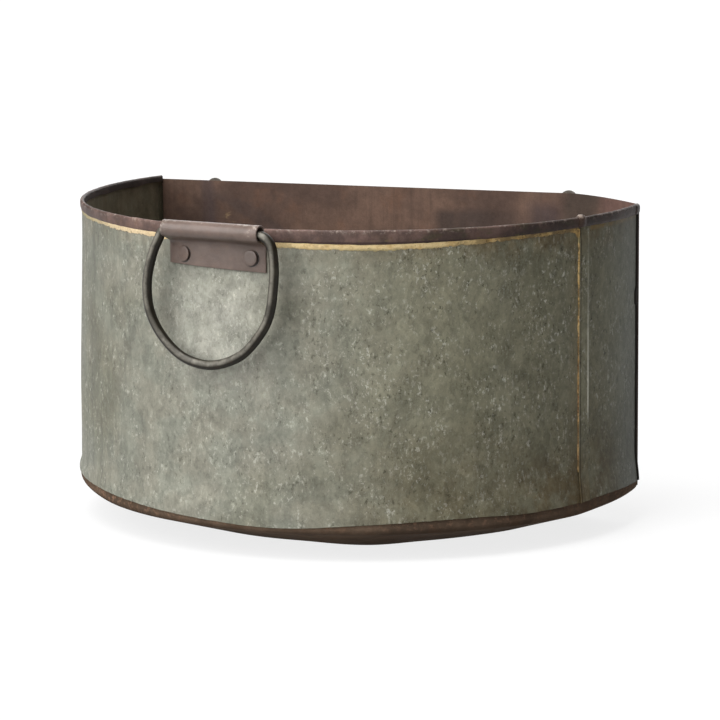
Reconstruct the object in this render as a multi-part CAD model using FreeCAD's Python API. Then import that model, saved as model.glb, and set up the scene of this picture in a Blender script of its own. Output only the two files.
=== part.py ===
import FreeCAD, Part
import math
import os

# Half-round wall planter: galvanised tub wall, brown steel back, rim trim, dished base, D-ring handle.
# Millimetres. The origin lies on the wall's own axis at the foot. +X runs to the right along the back,
# +Y towards the back and +Z up. Angles round the wall count from the front centre towards +X.

V = FreeCAD.Vector

# Tub
wall_radius = 240.0
wall_sheet = 0.7
rim_top = 270.0
back_y = 50.0
fold_gap = 0.15
fit_gap = 0.3

# Flared foot of the wall, over the base pan's flange
wall_lift = 30.0
flare_height = 14.0
flare_slope = 4.0
flare_out = 2.1

# Lock seam between the two wall sheets
seam_angle = 76.2
seam_width = 12.0

# Rim trim
rim_sheet = 1.2
rim_height = 10.0
rim_gap = 0.2
rim_lap = 6.0

# Back panel
back_sheet = 1.0
back_left_drop = 4.0
back_peak_rise = 5.0
back_right_drop = 1.0
back_peak_inset = 61.0
back_end_bow = 1.0
pocket_depth = 6.0

# Base pan
pan_sheet = 1.2
foot_radius = 162.0
dish_depth = 24.0
pan_round = 5.0
pan_lap = 12.0

# Handle clip
clip_sheet = 1.6
clip_width = 90.0
clip_drop = 34.0
roll_diameter = 14.0
roll_rise = 4.5
roll_gap = 0.6
roll_entry = 70.0
roll_turn = 270.0
clip_bend = 6.0

# Handle
bar_diameter = 8.0
handle_width = 128.0
handle_drop = 105.0
corner_bend = 14.0

# Clip rivets
rivet_pitch = 63.0
rivet_drop = 23.0
rivet_head = 13.2
rivet_head_height = 1.9
rivet_edge = 0.7
rivet_shank = 5.0
rivet_tail = 8.0
rivet_tail_height = 1.2
hole_clearance = 0.2

# Hangers
hanger_left_inset = 54.0
hanger_right_inset = 68.0
hanger_width = 16.0
hanger_sheet = 2.0
hanger_step = 4.0
hanger_step_rise = 8.0
hanger_peek = 1.8
hanger_hole = 7.0
hanger_hole_drop = 15.0
hanger_foot_drop = 38.0
hanger_foot_length = 34.0
hanger_rivet_pitch = 18.0
hanger_rivet_head = 7.0
hanger_rivet_shank = 4.0
hanger_rivet_head_height = 1.4
hanger_rivet_edge = 0.5

# Values worked out from the sizes above
wall_in = wall_radius - wall_sheet
rim_out = wall_radius + rim_gap + rim_sheet
rim_in = wall_in - rim_gap - rim_sheet
rim_low = rim_top - rim_height
rim_crown = (rim_out - rim_in) / 2
wall_top = rim_top - rim_crown
flare_in = wall_in + flare_out
flare_edge = wall_radius + flare_out
flare_neck = wall_lift + flare_height + flare_slope
pan_out = flare_in - fit_gap
pan_in = pan_out - pan_sheet
pan_top = wall_lift + pan_lap
hook_low = flare_neck + fit_gap
hook_high = rim_low - fit_gap
far = 4 * wall_radius
overrun = 5.0  # degrees swept past the back corners, then trimmed off
bite = 1.0  # degrees by which joined stretches of one sheet overlap
knuckle_y = -(rim_out + roll_gap + roll_diameter / 2)
knuckle_z = rim_top + roll_rise - roll_diameter / 2
bar_z = knuckle_z - (roll_diameter - 2 * clip_sheet - bar_diameter) / 2 + fit_gap
back_half = math.sqrt((wall_radius + fold_gap + back_sheet) ** 2 - back_y ** 2)
hanger_left_x = hanger_left_inset - back_half
hanger_right_x = back_half - hanger_right_inset
hanger_hole_z = rim_top - hanger_hole_drop
hanger_foot_top = rim_top - hanger_foot_drop


def turn(length):
    return math.degrees(length / wall_radius)


def at(radius, angle, z):
    a = math.radians(angle)
    return V(radius * math.sin(a), -radius * math.cos(a), z)


def line(a, b):
    return Part.LineSegment(a, b).toShape()


def arc(a, b, c):
    return Part.Arc(a, b, c).toShape()


def filled(edges):
    return Part.Face(Part.Wire(edges))


def polygon(points):
    return Part.Face(Part.makePolygon(points + points[:1]))


def fused(shapes):
    whole = shapes[0].multiFuse(shapes[1:]) if len(shapes) > 1 else shapes[0]
    return whole.removeSplitter()


def block(low, high):
    return Part.makeBox(high.x - low.x, high.y - low.y, high.z - low.z, low)


def ahead_of(y):
    return block(V(-far, -far, -far), V(far, y, far))


def sector(r_in, r_out, a_from, a_to, z_from, z_to):
    mid = (a_from + a_to) / 2
    edges = [
        line(at(r_in, a_from, z_from), at(r_out, a_from, z_from)),
        arc(at(r_out, a_from, z_from), at(r_out, mid, z_from), at(r_out, a_to, z_from)),
        line(at(r_out, a_to, z_from), at(r_in, a_to, z_from)),
        arc(at(r_in, a_to, z_from), at(r_in, mid, z_from), at(r_in, a_from, z_from)),
    ]
    return filled(edges).extrude(V(0, 0, z_to - z_from))


def revolved(face, a_from, a_to):
    face.rotate(V(0, 0, 0), V(0, 0, 1), a_from)
    return face.revolve(V(0, 0, 0), V(0, 0, 1), a_to - a_from)


def channel(low, r_in, r_out, top, gap_in, gap_out, gap_top, a_from, a_to):
    # Inverted U with a round crown, open downwards between gap_in and gap_out
    def crown(inner, outer, peak):
        r = (outer - inner) / 2
        return at(outer, 0, peak - r), at((inner + outer) / 2, 0, peak), at(inner, 0, peak - r)

    outer_foot, inner_foot = at(r_out, 0, low), at(r_in, 0, low)
    o1, o2, o3 = crown(r_in, r_out, top)
    g1, g2, g3 = crown(gap_in, gap_out, gap_top)
    edges = [
        line(outer_foot, o1),
        arc(o1, o2, o3),
        line(o3, inner_foot),
        line(inner_foot, at(gap_in, 0, low)),
        line(at(gap_in, 0, low), g3),
        arc(g3, g2, g1),
        line(g1, at(gap_out, 0, low)),
        line(at(gap_out, 0, low), outer_foot),
    ]
    return revolved(filled(edges), a_from, a_to)


def rivet(head_d, head_h, edge_h, shank_d, grip, tail_d, tail_h):
    # Low domed head above z = 0, shank down through the grip, peened tail below it
    def dome(radius, flat_z, top_z):
        rise = top_z - flat_z
        ball = (radius ** 2 + rise ** 2) / (2 * abs(rise))
        half = math.asin(radius / ball) / 2
        sign = 1 if rise > 0 else -1
        middle = V(ball * math.sin(half), 0, top_z - sign * ball * (1 - math.cos(half)))
        return arc(V(radius, 0, flat_z), middle, V(0, 0, top_z))

    rh, rs, rt = head_d / 2, shank_d / 2, tail_d / 2
    tail_end = -grip - tail_h
    edges = [
        line(V(0, 0, tail_end), V(0, 0, head_h)),
        dome(rh, edge_h, head_h),
        line(V(rh, 0, edge_h), V(rh, 0, 0)),
        line(V(rh, 0, 0), V(rs, 0, 0)),
        line(V(rs, 0, 0), V(rs, 0, -grip)),
        line(V(rs, 0, -grip), V(rt, 0, -grip)),
        dome(rt, -grip, tail_end),
    ]
    return Part.Face(Part.Wire(Part.__sortEdges__(edges))).revolve(V(0, 0, 0), V(0, 0, 1), 360)


def placed(shape, point, outward):
    copy = shape.copy()
    copy.Placement = FreeCAD.Placement(point, FreeCAD.Rotation(V(0, 0, 1), outward))
    return copy


def export(name, shape):
    if not shape.isValid():
        raise ValueError(name + " is not a valid solid")
    shape.exportStep("parts/" + name + ".step")
    print(name, len(shape.Solids), "solids", round(shape.Volume / 1000, 2), "cm3")


# Angles of the seam and the back corners
corner = math.degrees(math.acos(-back_y / wall_radius))
past_corner = corner + overrun
seam_end = seam_angle + turn(seam_width)
sheet_turn = turn(wall_sheet)
gap_turn = turn(fold_gap)
rivet_angle = turn(rivet_pitch / 2)
rivet_z = rim_top - rivet_drop


def clip_rivet_holes():
    holes = []
    for side in (-1, 1):
        start = at(wall_in - rivet_tail, side * rivet_angle, rivet_z)
        outward = at(1, side * rivet_angle, 0)
        radius = (rivet_shank + hole_clearance) / 2
        holes.append(Part.makeCylinder(radius, 4 * rivet_tail, start, outward))
    return fused(holes)


def wall_stretch(a_from, a_to, top):
    # Plain wall standing on its flared foot
    lip = wall_lift + flare_height
    profile = polygon([
        at(flare_in, 0, wall_lift),
        at(flare_edge, 0, wall_lift),
        at(flare_edge, 0, lip),
        at(wall_radius, 0, flare_neck),
        at(wall_radius, 0, top),
        at(wall_in, 0, top),
        at(wall_in, 0, flare_neck),
        at(flare_in, 0, lip),
    ])
    return revolved(profile, a_from, a_to)


def make_front_sheet():
    layer = wall_sheet + fold_gap
    return_in = wall_radius + fold_gap + layer
    return_out = return_in + wall_sheet
    plain = wall_stretch(-past_corner, seam_angle - gap_turn, wall_top)
    under = sector(wall_in, wall_radius, seam_angle - bite, seam_end, hook_low, hook_high)
    fold = sector(wall_in, return_out, seam_end, seam_end + sheet_turn, hook_low, hook_high)
    lip = sector(return_in, return_out, seam_angle + gap_turn, seam_end, hook_low, hook_high)
    sheet = fused([plain, under, fold, lip])
    return sheet.common(ahead_of(back_y - fold_gap)).cut(clip_rivet_holes())


def make_side_sheet():
    layer = wall_sheet + fold_gap
    hook_in = wall_radius + fold_gap
    over_in = wall_radius + fold_gap + 2 * layer
    over_out = over_in + wall_sheet
    step = seam_end + sheet_turn + gap_turn
    plain = wall_stretch(step, past_corner, wall_top)
    joggle = sector(wall_in, over_out, step, step + sheet_turn, hook_low, hook_high)
    over = sector(over_in, over_out, seam_angle, step, hook_low, hook_high)
    fold = sector(hook_in, over_out, seam_angle - sheet_turn, seam_angle, hook_low, hook_high)
    hook = sector(hook_in, hook_in + wall_sheet, seam_angle, seam_end - gap_turn, hook_low, hook_high)
    low_strip = wall_stretch(seam_angle, step + bite, hook_low - fold_gap)
    top_strip = sector(wall_in, wall_radius, seam_angle, step + bite, hook_high + fold_gap, wall_top)
    sheet = fused([plain, joggle, over, fold, hook, low_strip, top_strip])
    return sheet.common(ahead_of(back_y - fold_gap))


def make_rims():
    gap_in, gap_out = wall_in - rim_gap, wall_radius + rim_gap
    gap_top = rim_top - rim_sheet
    lap_in, lap_out = rim_in - rim_gap, rim_out + rim_gap
    lap_top = rim_top + rim_gap
    joint = seam_angle + turn(rim_lap)
    web = turn(rim_sheet)
    bound = ahead_of(back_y - fold_gap)
    front = channel(rim_low, rim_in, rim_out, rim_top, gap_in, gap_out, gap_top,
                    -past_corner, joint - gap_turn)
    swage = channel(rim_low, lap_in - rim_sheet, lap_out + rim_sheet, lap_top + rim_sheet,
                    lap_in, lap_out, lap_top, seam_angle, joint)
    shoulder = channel(rim_low, lap_in - rim_sheet, lap_out + rim_sheet, lap_top + rim_sheet,
                       gap_in, gap_out, gap_top, joint, joint + web)
    run = channel(rim_low, rim_in, rim_out, rim_top, gap_in, gap_out, gap_top, joint + web, past_corner)
    return front.common(bound), fused([swage, shoulder, run]).common(bound)


def back_top_edge():
    left = V(-back_half, back_y, rim_top - back_left_drop)
    peak = V(back_half - back_peak_inset, back_y, rim_top + back_peak_rise)
    right = V(back_half, back_y, rim_top - back_right_drop)
    middle = (peak + right) * 0.5 + V(0, 0, back_end_bow)
    return left, peak, middle, right


def back_top_at(x):
    left, peak = back_top_edge()[:2]
    return left.z + (peak.z - left.z) * (x - left.x) / (peak.x - left.x)


def make_back_panel():
    left, peak, middle, right = back_top_edge()
    low_left, low_right = V(-back_half, back_y, wall_lift), V(back_half, back_y, wall_lift)
    edges = [
        line(low_left, low_right),
        line(low_right, right),
        arc(right, middle, peak),
        line(peak, left),
        line(left, low_left),
    ]
    plate = filled(edges).extrude(V(0, back_sheet, 0))
    legs_out = sector(wall_radius + fold_gap, wall_radius + fold_gap + back_sheet,
                      -past_corner, past_corner, hook_low, hook_high)
    legs_in = sector(wall_in - fold_gap - 2 * back_sheet, wall_in - fold_gap,
                     -past_corner, past_corner, hook_low, hook_high)
    band = block(V(-far, back_y - pocket_depth, 0), V(far, back_y + back_sheet / 2, far))
    panel = fused([plate, legs_out.common(band), legs_in.common(band)])
    return panel.cut(fused(hanger_rivet_holes()))


def make_base_pan():
    slope = math.atan2(dish_depth, pan_out - foot_radius)
    start = slope - math.pi / 2
    bend_r = pan_out - pan_round
    bend_z = dish_depth - pan_round * math.tan(start / 2)
    inner = pan_round - pan_sheet

    def bend(radius, angle):
        return at(bend_r + radius * math.cos(angle), 0, bend_z + radius * math.sin(angle))

    inside_foot = bend(inner, start)
    foot_in = -inside_foot.y - (inside_foot.z - pan_sheet) / math.tan(slope)
    underside = [
        line(at(0, 0, 0), at(foot_radius, 0, 0)),
        line(at(foot_radius, 0, 0), bend(pan_round, start)),
        arc(bend(pan_round, start), bend(pan_round, start / 2), bend(pan_round, 0)),
        line(bend(pan_round, 0), at(pan_out, 0, pan_top)),
    ]
    inside = [
        line(at(pan_out, 0, pan_top), at(pan_in, 0, pan_top)),
        line(at(pan_in, 0, pan_top), bend(inner, 0)),
        arc(bend(inner, 0), bend(inner, start / 2), inside_foot),
        line(inside_foot, at(foot_in, 0, pan_sheet)),
        line(at(foot_in, 0, pan_sheet), at(0, 0, pan_sheet)),
        line(at(0, 0, pan_sheet), at(0, 0, 0)),
    ]
    lid = [
        line(at(pan_out, 0, pan_top), at(0, 0, pan_top)),
        line(at(0, 0, pan_top), at(0, 0, 0)),
    ]
    dish = filled(underside + inside).revolve(V(0, 0, 0), V(0, 0, 1), 360).common(ahead_of(back_y))
    body = filled(underside + lid).revolve(V(0, 0, 0), V(0, 0, 1), 360)
    back_wall = body.common(block(V(-far, back_y - pan_sheet, 0), V(far, back_y, far)))
    return fused([dish, back_wall])


def clip_section(x):
    # One cut through the strap: up the wall, out through the bend, on to the start of the roll
    inner_y = -math.sqrt((wall_radius + fold_gap) ** 2 - x ** 2)
    middle_y = inner_y - clip_sheet / 2
    half, roll = clip_sheet / 2, roll_diameter / 2 - clip_sheet / 2
    b = math.radians(roll_entry)
    enter_y = knuckle_y - roll * math.cos(b)
    enter_z = knuckle_z - roll * math.sin(b)
    run = (middle_y - clip_bend * (1 - math.cos(b)) - enter_y) / math.sin(b)
    bend_z = enter_z - run * math.cos(b) - clip_bend * math.sin(b)
    low = rim_top - clip_drop

    def bend(radius, angle):
        return V(x, middle_y - clip_bend + radius * math.cos(angle), bend_z + radius * math.sin(angle))

    def roll_point(radius):
        return V(x, knuckle_y - radius * math.cos(b), knuckle_z - radius * math.sin(b))

    near, away = clip_bend + half, clip_bend - half
    edges = [
        line(V(x, inner_y, low), bend(near, 0)),
        arc(bend(near, 0), bend(near, b / 2), bend(near, b)),
        line(bend(near, b), roll_point(roll - half)),
        line(roll_point(roll - half), roll_point(roll + half)),
        line(roll_point(roll + half), bend(away, b)),
        arc(bend(away, b), bend(away, b / 2), bend(away, 0)),
        line(bend(away, 0), V(x, inner_y - clip_sheet, low)),
        line(V(x, inner_y - clip_sheet, low), V(x, inner_y, low)),
    ]
    return Part.Wire(edges)


def make_handle_clip():
    count = 7
    places = [clip_width * (i / (count - 1) - 0.5) for i in range(count)]
    strap = Part.makeLoft([clip_section(x) for x in places], True, False)
    start = math.radians(180 + roll_entry)
    span = math.radians(roll_turn)

    def ring_point(radius, share):
        a = start - span * share
        return V(-clip_width / 2, knuckle_y + radius * math.cos(a), knuckle_z + radius * math.sin(a))

    outer, inner = roll_diameter / 2, roll_diameter / 2 - clip_sheet
    edges = [
        arc(ring_point(outer, 0), ring_point(outer, 0.5), ring_point(outer, 1)),
        line(ring_point(outer, 1), ring_point(inner, 1)),
        arc(ring_point(inner, 1), ring_point(inner, 0.5), ring_point(inner, 0)),
        line(ring_point(inner, 0), ring_point(outer, 0)),
    ]
    roll = filled(edges).extrude(V(clip_width, 0, 0))
    return fused([strap, roll]).cut(clip_rivet_holes())


def make_handle():
    half = (handle_width - bar_diameter) / 2
    bottom = bar_z - handle_drop
    turn_z = bottom + half
    bend_z = bar_z - corner_bend
    bend_x = half - corner_bend
    slack = corner_bend * (1 - math.sqrt(0.5))

    def p(x, z):
        return V(x, knuckle_y, z)

    path = Part.Wire([
        line(p(0, bar_z), p(bend_x, bar_z)),
        arc(p(bend_x, bar_z), p(half - slack, bar_z - slack), p(half, bend_z)),
        line(p(half, bend_z), p(half, turn_z)),
        arc(p(half, turn_z), p(0, bottom), p(-half, turn_z)),
        line(p(-half, turn_z), p(-half, bend_z)),
        arc(p(-half, bend_z), p(-half + slack, bar_z - slack), p(-bend_x, bar_z)),
        line(p(-bend_x, bar_z), p(0, bar_z)),
    ])
    circle = Part.Circle(p(0, bar_z), V(1, 0, 0), bar_diameter / 2)
    ring = path.makePipeShell([Part.Wire(circle.toShape())], True, False)
    expected = math.pi * bar_diameter ** 2 / 4 * path.Length
    print("handle volume over section times length", ring.Volume / expected)
    return ring


def make_clip_rivets():
    head_seat = wall_radius + fold_gap + clip_sheet
    tail_seat = wall_in - rivet_tail ** 2 / (8 * wall_in) - hole_clearance / 4
    one = rivet(rivet_head, rivet_head_height, rivet_edge, rivet_shank, head_seat - tail_seat,
                rivet_tail, rivet_tail_height)
    angles = (-rivet_angle, rivet_angle)
    return Part.makeCompound([placed(one, at(head_seat, a, rivet_z), at(1, a, 0)) for a in angles])


def hanger_rivet_points(x):
    middle = hanger_foot_top - hanger_foot_length / 2
    return [V(x, back_y, middle + side * hanger_rivet_pitch / 2) for side in (-1, 1)]


def hanger_rivet_holes():
    radius = (hanger_rivet_shank + hole_clearance) / 2
    holes = []
    for x in (hanger_left_x, hanger_right_x):
        for point in hanger_rivet_points(x):
            start = point - V(0, pocket_depth, 0)
            holes.append(Part.makeCylinder(radius, 2 * pocket_depth, start, V(0, 1, 0)))
    return holes


def make_hanger(x):
    top = back_top_at(x) + hanger_peek
    rear = back_y + back_sheet
    low = hanger_foot_top - hanger_foot_length
    bent = hanger_foot_top + hanger_step_rise
    left = x - hanger_width / 2
    outline = [
        V(left, rear, low),
        V(left, rear, hanger_foot_top),
        V(left, rear + hanger_step, bent),
        V(left, rear + hanger_step, top),
        V(left, rear + hanger_step + hanger_sheet, top),
        V(left, rear + hanger_step + hanger_sheet, bent),
        V(left, rear + hanger_sheet, hanger_foot_top),
        V(left, rear + hanger_sheet, low),
    ]
    strap = polygon(outline).extrude(V(hanger_width, 0, 0))
    radius = hanger_width / 2
    shoulder = top - radius
    front_edges = [
        line(V(x - radius, rear, low), V(x + radius, rear, low)),
        line(V(x + radius, rear, low), V(x + radius, rear, shoulder)),
        arc(V(x + radius, rear, shoulder), V(x, rear, top), V(x - radius, rear, shoulder)),
        line(V(x - radius, rear, shoulder), V(x - radius, rear, low)),
    ]
    shape = filled(front_edges).extrude(V(0, hanger_step + hanger_sheet, 0))
    eye_start = V(x, rear, hanger_hole_z)
    eye = Part.makeCylinder(hanger_hole / 2, 2 * hanger_width, eye_start, V(0, 1, 0))
    return strap.common(shape).cut(fused(hanger_rivet_holes() + [eye]))


def make_hanger_rivets():
    grip = back_sheet + hanger_sheet
    one = rivet(hanger_rivet_head, hanger_rivet_head_height, hanger_rivet_edge, hanger_rivet_shank, grip,
                hanger_rivet_head, hanger_rivet_head_height)
    rivets = []
    for x in (hanger_left_x, hanger_right_x):
        for point in hanger_rivet_points(x):
            rivets.append(placed(one, point + V(0, grip, 0), V(0, 1, 0)))
    return Part.makeCompound(rivets)


os.makedirs("parts", exist_ok=True)
rim_front, rim_side = make_rims()
export("front_sheet", make_front_sheet())
export("side_sheet", make_side_sheet())
export("rim_front", rim_front)
export("rim_side", rim_side)
export("back_panel", make_back_panel())
export("base_pan", make_base_pan())
export("handle_clip", make_handle_clip())
export("handle", make_handle())
export("clip_rivets", make_clip_rivets())
export("hanger_left", make_hanger(hanger_left_x))
export("hanger_right", make_hanger(hanger_right_x))
export("hanger_rivets", make_hanger_rivets())
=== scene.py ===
import math
import bmesh
import bpy
from mathutils import Matrix, Vector, noise


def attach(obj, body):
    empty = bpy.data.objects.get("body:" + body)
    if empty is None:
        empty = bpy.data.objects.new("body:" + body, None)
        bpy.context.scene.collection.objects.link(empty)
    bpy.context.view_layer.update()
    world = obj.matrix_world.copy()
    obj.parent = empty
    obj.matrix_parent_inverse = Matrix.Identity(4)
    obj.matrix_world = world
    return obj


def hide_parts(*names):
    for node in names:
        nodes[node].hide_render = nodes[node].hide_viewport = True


# Half-round wall planter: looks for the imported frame, in metres.
# Angles round the wall are degrees from the front centre towards +X.
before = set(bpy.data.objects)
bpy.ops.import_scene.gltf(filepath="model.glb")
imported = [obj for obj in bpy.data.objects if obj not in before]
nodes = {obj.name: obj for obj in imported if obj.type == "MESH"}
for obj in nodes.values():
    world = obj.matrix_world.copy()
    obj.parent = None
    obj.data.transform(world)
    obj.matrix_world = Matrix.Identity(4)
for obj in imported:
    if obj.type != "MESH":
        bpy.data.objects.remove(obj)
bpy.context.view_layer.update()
mm = 0.001
bevelFrom = 1.0  # radians between two faces
print("frame loaded with", len(nodes), "nodes")


def polar(radius, degrees, z):
    a = math.radians(degrees)
    return Vector((radius * math.sin(a), -radius * math.cos(a), z))


def ease(value, start, end):
    t = max(0.0, min(1.0, (value - start) / (end - start)))
    return t * t * (3 - 2 * t)


def mixed(a, b, t):
    return a + (b - a) * t


def waver(x, seed):
    return noise.noise(Vector((x, seed * 7.31, seed * 1.7)))


def spread(start, end, count):
    return [mixed(start, end, i / (count - 1)) for i in range(count)]


def through(points, x):
    # smooth line through a few (x, y) points
    if x <= points[0][0]:
        return points[0][1]
    if x >= points[-1][0]:
        return points[-1][1]
    i = max(k for k in range(len(points) - 1) if points[k][0] <= x)
    x0, y0 = points[i]
    x1, y1 = points[i + 1]

    def slope(k):
        a, b = points[max(k - 1, 0)], points[min(k + 1, len(points) - 1)]
        return (b[1] - a[1]) / (b[0] - a[0])

    t, span = (x - x0) / (x1 - x0), x1 - x0
    h = t * t * (3 - 2 * t)
    bendIn = t * (1 - t) ** 2 * slope(i)
    bendOut = t * t * (t - 1) * slope(i + 1)
    return mixed(y0, y1, h) + span * (bendIn + bendOut)


def newPiece(name, build, body, stands, materials, sharp=35, bevel=0):
    made = bmesh.new()
    build(made)
    bmesh.ops.recalc_face_normals(made, faces=made.faces)
    if bevel:
        edges = [e for e in made.edges if len(e.link_faces) == 2 and e.calc_face_angle() > bevelFrom]
        bmesh.ops.bevel(made, geom=edges, offset=bevel, segments=3, profile=0.5,
                        affect="EDGES", clamp_overlap=True)
    mesh = bpy.data.meshes.new(name)
    made.to_mesh(mesh)
    made.free()
    mesh.shade_smooth()
    mesh.set_sharp_from_angle(angle=math.radians(sharp))
    piece = bpy.data.objects.new(name, mesh)
    bpy.context.scene.collection.objects.link(piece)
    for material in materials:
        mesh.materials.append(material)
    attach(piece, body)
    if stands:
        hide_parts(*stands)
    print("piece", name, len(mesh.polygons), "faces")


def sheetFaces(made, outside, inside, insideIndex=0, outsideIndex=0, closed=False):
    # two grids of points, front and back of one sheet, joined all round; a closed one meets itself
    # and starts each row at one middle point
    rows, columns = len(outside), len(outside[0])
    front = [[made.verts.new(p) for p in row] for row in outside]
    rear = [[made.verts.new(p) for p in row] for row in inside]
    border = []
    for i in range(rows if closed else rows - 1):
        n = (i + 1) % rows
        for j in range(columns - 1):
            face = made.faces.new((front[i][j], front[n][j], front[n][j + 1], front[i][j + 1]))
            face.material_index = outsideIndex
            back = made.faces.new((rear[i][j], rear[i][j + 1], rear[n][j + 1], rear[n][j]))
            back.material_index = insideIndex
        for j in (columns - 1,) if closed else (0, columns - 1):
            border.append(made.faces.new((front[i][j], front[n][j], rear[n][j], rear[i][j])))
    for j in range(0 if closed else columns - 1):
        for i in (0, rows - 1):
            border.append(made.faces.new((front[i][j], front[i][j + 1], rear[i][j + 1], rear[i][j])))
    for face in border:
        face.material_index = outsideIndex


def ringAt(made, middle, across, up, radius, sides):
    turns = [2 * math.pi * s / sides for s in range(sides)]
    return [made.verts.new(middle + (across * math.cos(a) + up * math.sin(a)) * radius) for a in turns]


def joinRings(made, rings):
    for one, two in zip(rings, rings[1:]):
        for s in range(len(one)):
            n = (s + 1) % len(one)
            made.faces.new((one[s], one[n], two[n], two[s]))


def turnedFaces(made, line, base, out, sides):
    # a line of (radius, height) turned round the axis out from base, flat at both ends
    across = out.orthogonal().normalized()
    up = out.cross(across)
    rings = [ringAt(made, base + out * height, across, up, radius, sides) for radius, height in line]
    joinRings(made, rings)
    made.faces.new(rings[0])
    made.faces.new(rings[-1])


# Shader maths: a Value is one socket, and arithmetic on it adds Math nodes
class Value:
    def __init__(self, paint, socket):
        self.paint = paint
        self.socket = socket

    def math(self, operation, a, b):
        return self.paint.node("Math", {"operation": operation}, {0: a, 1: b})

    def __add__(self, other):
        return self.math("ADD", self, other)

    def __sub__(self, other):
        return self.math("SUBTRACT", self, other)

    def __rsub__(self, other):
        return self.math("SUBTRACT", other, self)

    def __mul__(self, other):
        return self.math("MULTIPLY", self, other)

    __radd__ = __add__
    __rmul__ = __mul__

    def rise(self, start, end):
        # 0 below start, 1 above end
        sockets = {"Value": self, "From Min": start, "From Max": end}
        return self.paint.node("MapRange", {"interpolation_type": "SMOOTHSTEP"}, sockets)

    def fall(self, start, end):
        return 1 - self.rise(start, end)

    def band(self, start, end, soft):
        return self.rise(start - soft, start + soft) * self.fall(end - soft, end + soft)


def linear(colour):
    # a colour of 0 to 255 as on screen, for the shader; anything else stays as it is
    if not isinstance(colour, tuple):
        return colour
    parts = [c / 255 for c in colour]
    return [c / 12.92 if c <= 0.04045 else ((c + 0.055) / 1.055) ** 2.4 for c in parts] + [1]


class Paint:
    def __init__(self, name, sheen):
        self.material = bpy.data.materials.new(name)
        self.material.use_nodes = True
        self.tree = self.material.node_tree
        self.shader = self.tree.nodes["Principled BSDF"]
        self.feed("Specular IOR Level", sheen)
        self.place = self.node("TexCoord", out="Object")
        self.x, self.y, self.z = [self.node("SeparateXYZ", {}, {0: self.place}, axis) for axis in range(3)]

    def node(self, kind, settings=None, sockets=None, out=0):
        made = self.tree.nodes.new("ShaderNode" + kind)
        for key, value in (settings or {}).items():
            setattr(made, key, value)
        for key, value in (sockets or {}).items():
            if isinstance(value, Value):
                self.tree.links.new(value.socket, made.inputs[key])
            else:
                made.inputs[key].default_value = value
        return Value(self, made.outputs[out])

    def feed(self, socket, value):
        if isinstance(value, Value):
            self.tree.links.new(value.socket, self.shader.inputs[socket])
        else:
            self.shader.inputs[socket].default_value = value

    def stretched(self, factors, shift=(0, 0, 0)):
        # a shift keeps two noises of one scale apart
        return self.node("VectorMath", {"operation": "MULTIPLY_ADD"}, {0: self.place, 1: factors, 2: shift})

    def shaken(self, place, scale, amount):
        # the place, moved about by noise
        cloud = self.node("TexNoise", {}, {"Vector": place, "Scale": scale, "Detail": 2.0}, "Color")
        return self.node("VectorMath", {"operation": "MULTIPLY_ADD"},
                         {0: cloud, 1: (amount, amount, amount), 2: place})

    def cloud(self, scale, detail=3.0, roughness=0.55, place=None):
        sockets = {"Vector": place or self.place, "Scale": scale, "Detail": detail, "Roughness": roughness}
        return self.node("TexNoise", {}, sockets)

    def cellChance(self, scale, place):
        # one random number for each cell
        cells = self.node("TexVoronoi", {}, {"Vector": place, "Scale": scale}, "Color")
        return self.node("SeparateColor", {}, {0: cells})

    def blend(self, factor, a, b, how="MIX"):
        # a Mix node's colours are its inputs 6 and 7 and its output 2
        return self.node("Mix", {"data_type": "RGBA", "blend_type": how, "clamp_factor": True},
                         {0: factor, 6: linear(a), 7: linear(b)}, 2)

    def lay(self, mask, coat):
        # a coat is a colour and how strongly it covers
        over, share = coat
        self.colour = self.blend(mask * share, self.colour, over)

    def grey(self, level):
        return self.node("CombineColor", {}, {0: level, 1: level, 2: level})

    def tint(self, level):
        self.colour = self.blend(1.0, self.colour, self.grey(level), "MULTIPLY")

    def reach(self):
        # distance from the wall's axis
        flat = self.stretched((1, 1, 0))
        return self.node("VectorMath", {"operation": "LENGTH"}, {0: flat}, "Value")

    def turned(self):
        # degrees round the wall from the front centre
        ahead = 0 - self.y
        return self.node("Math", {"operation": "ARCTAN2"}, {0: self.x, 1: ahead}) * math.degrees(1)

    def apart(self, x, z):
        # distance from a point, seen straight from the front
        sideways = self.x - x
        upward = self.z - z
        return self.node("Math", {"operation": "SQRT"}, {0: sideways * sideways + upward * upward})

    def finish(self, rough, height, bumpDepth, metal=None):
        self.feed("Base Color", self.colour)
        self.feed("Roughness", rough)
        if metal is not None:
            self.feed("Metallic", metal)
        bump = self.node("Bump", {}, {"Strength": 1.0, "Distance": bumpDepth, "Height": height})
        self.feed("Normal", bump)
        return self.material


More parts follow.
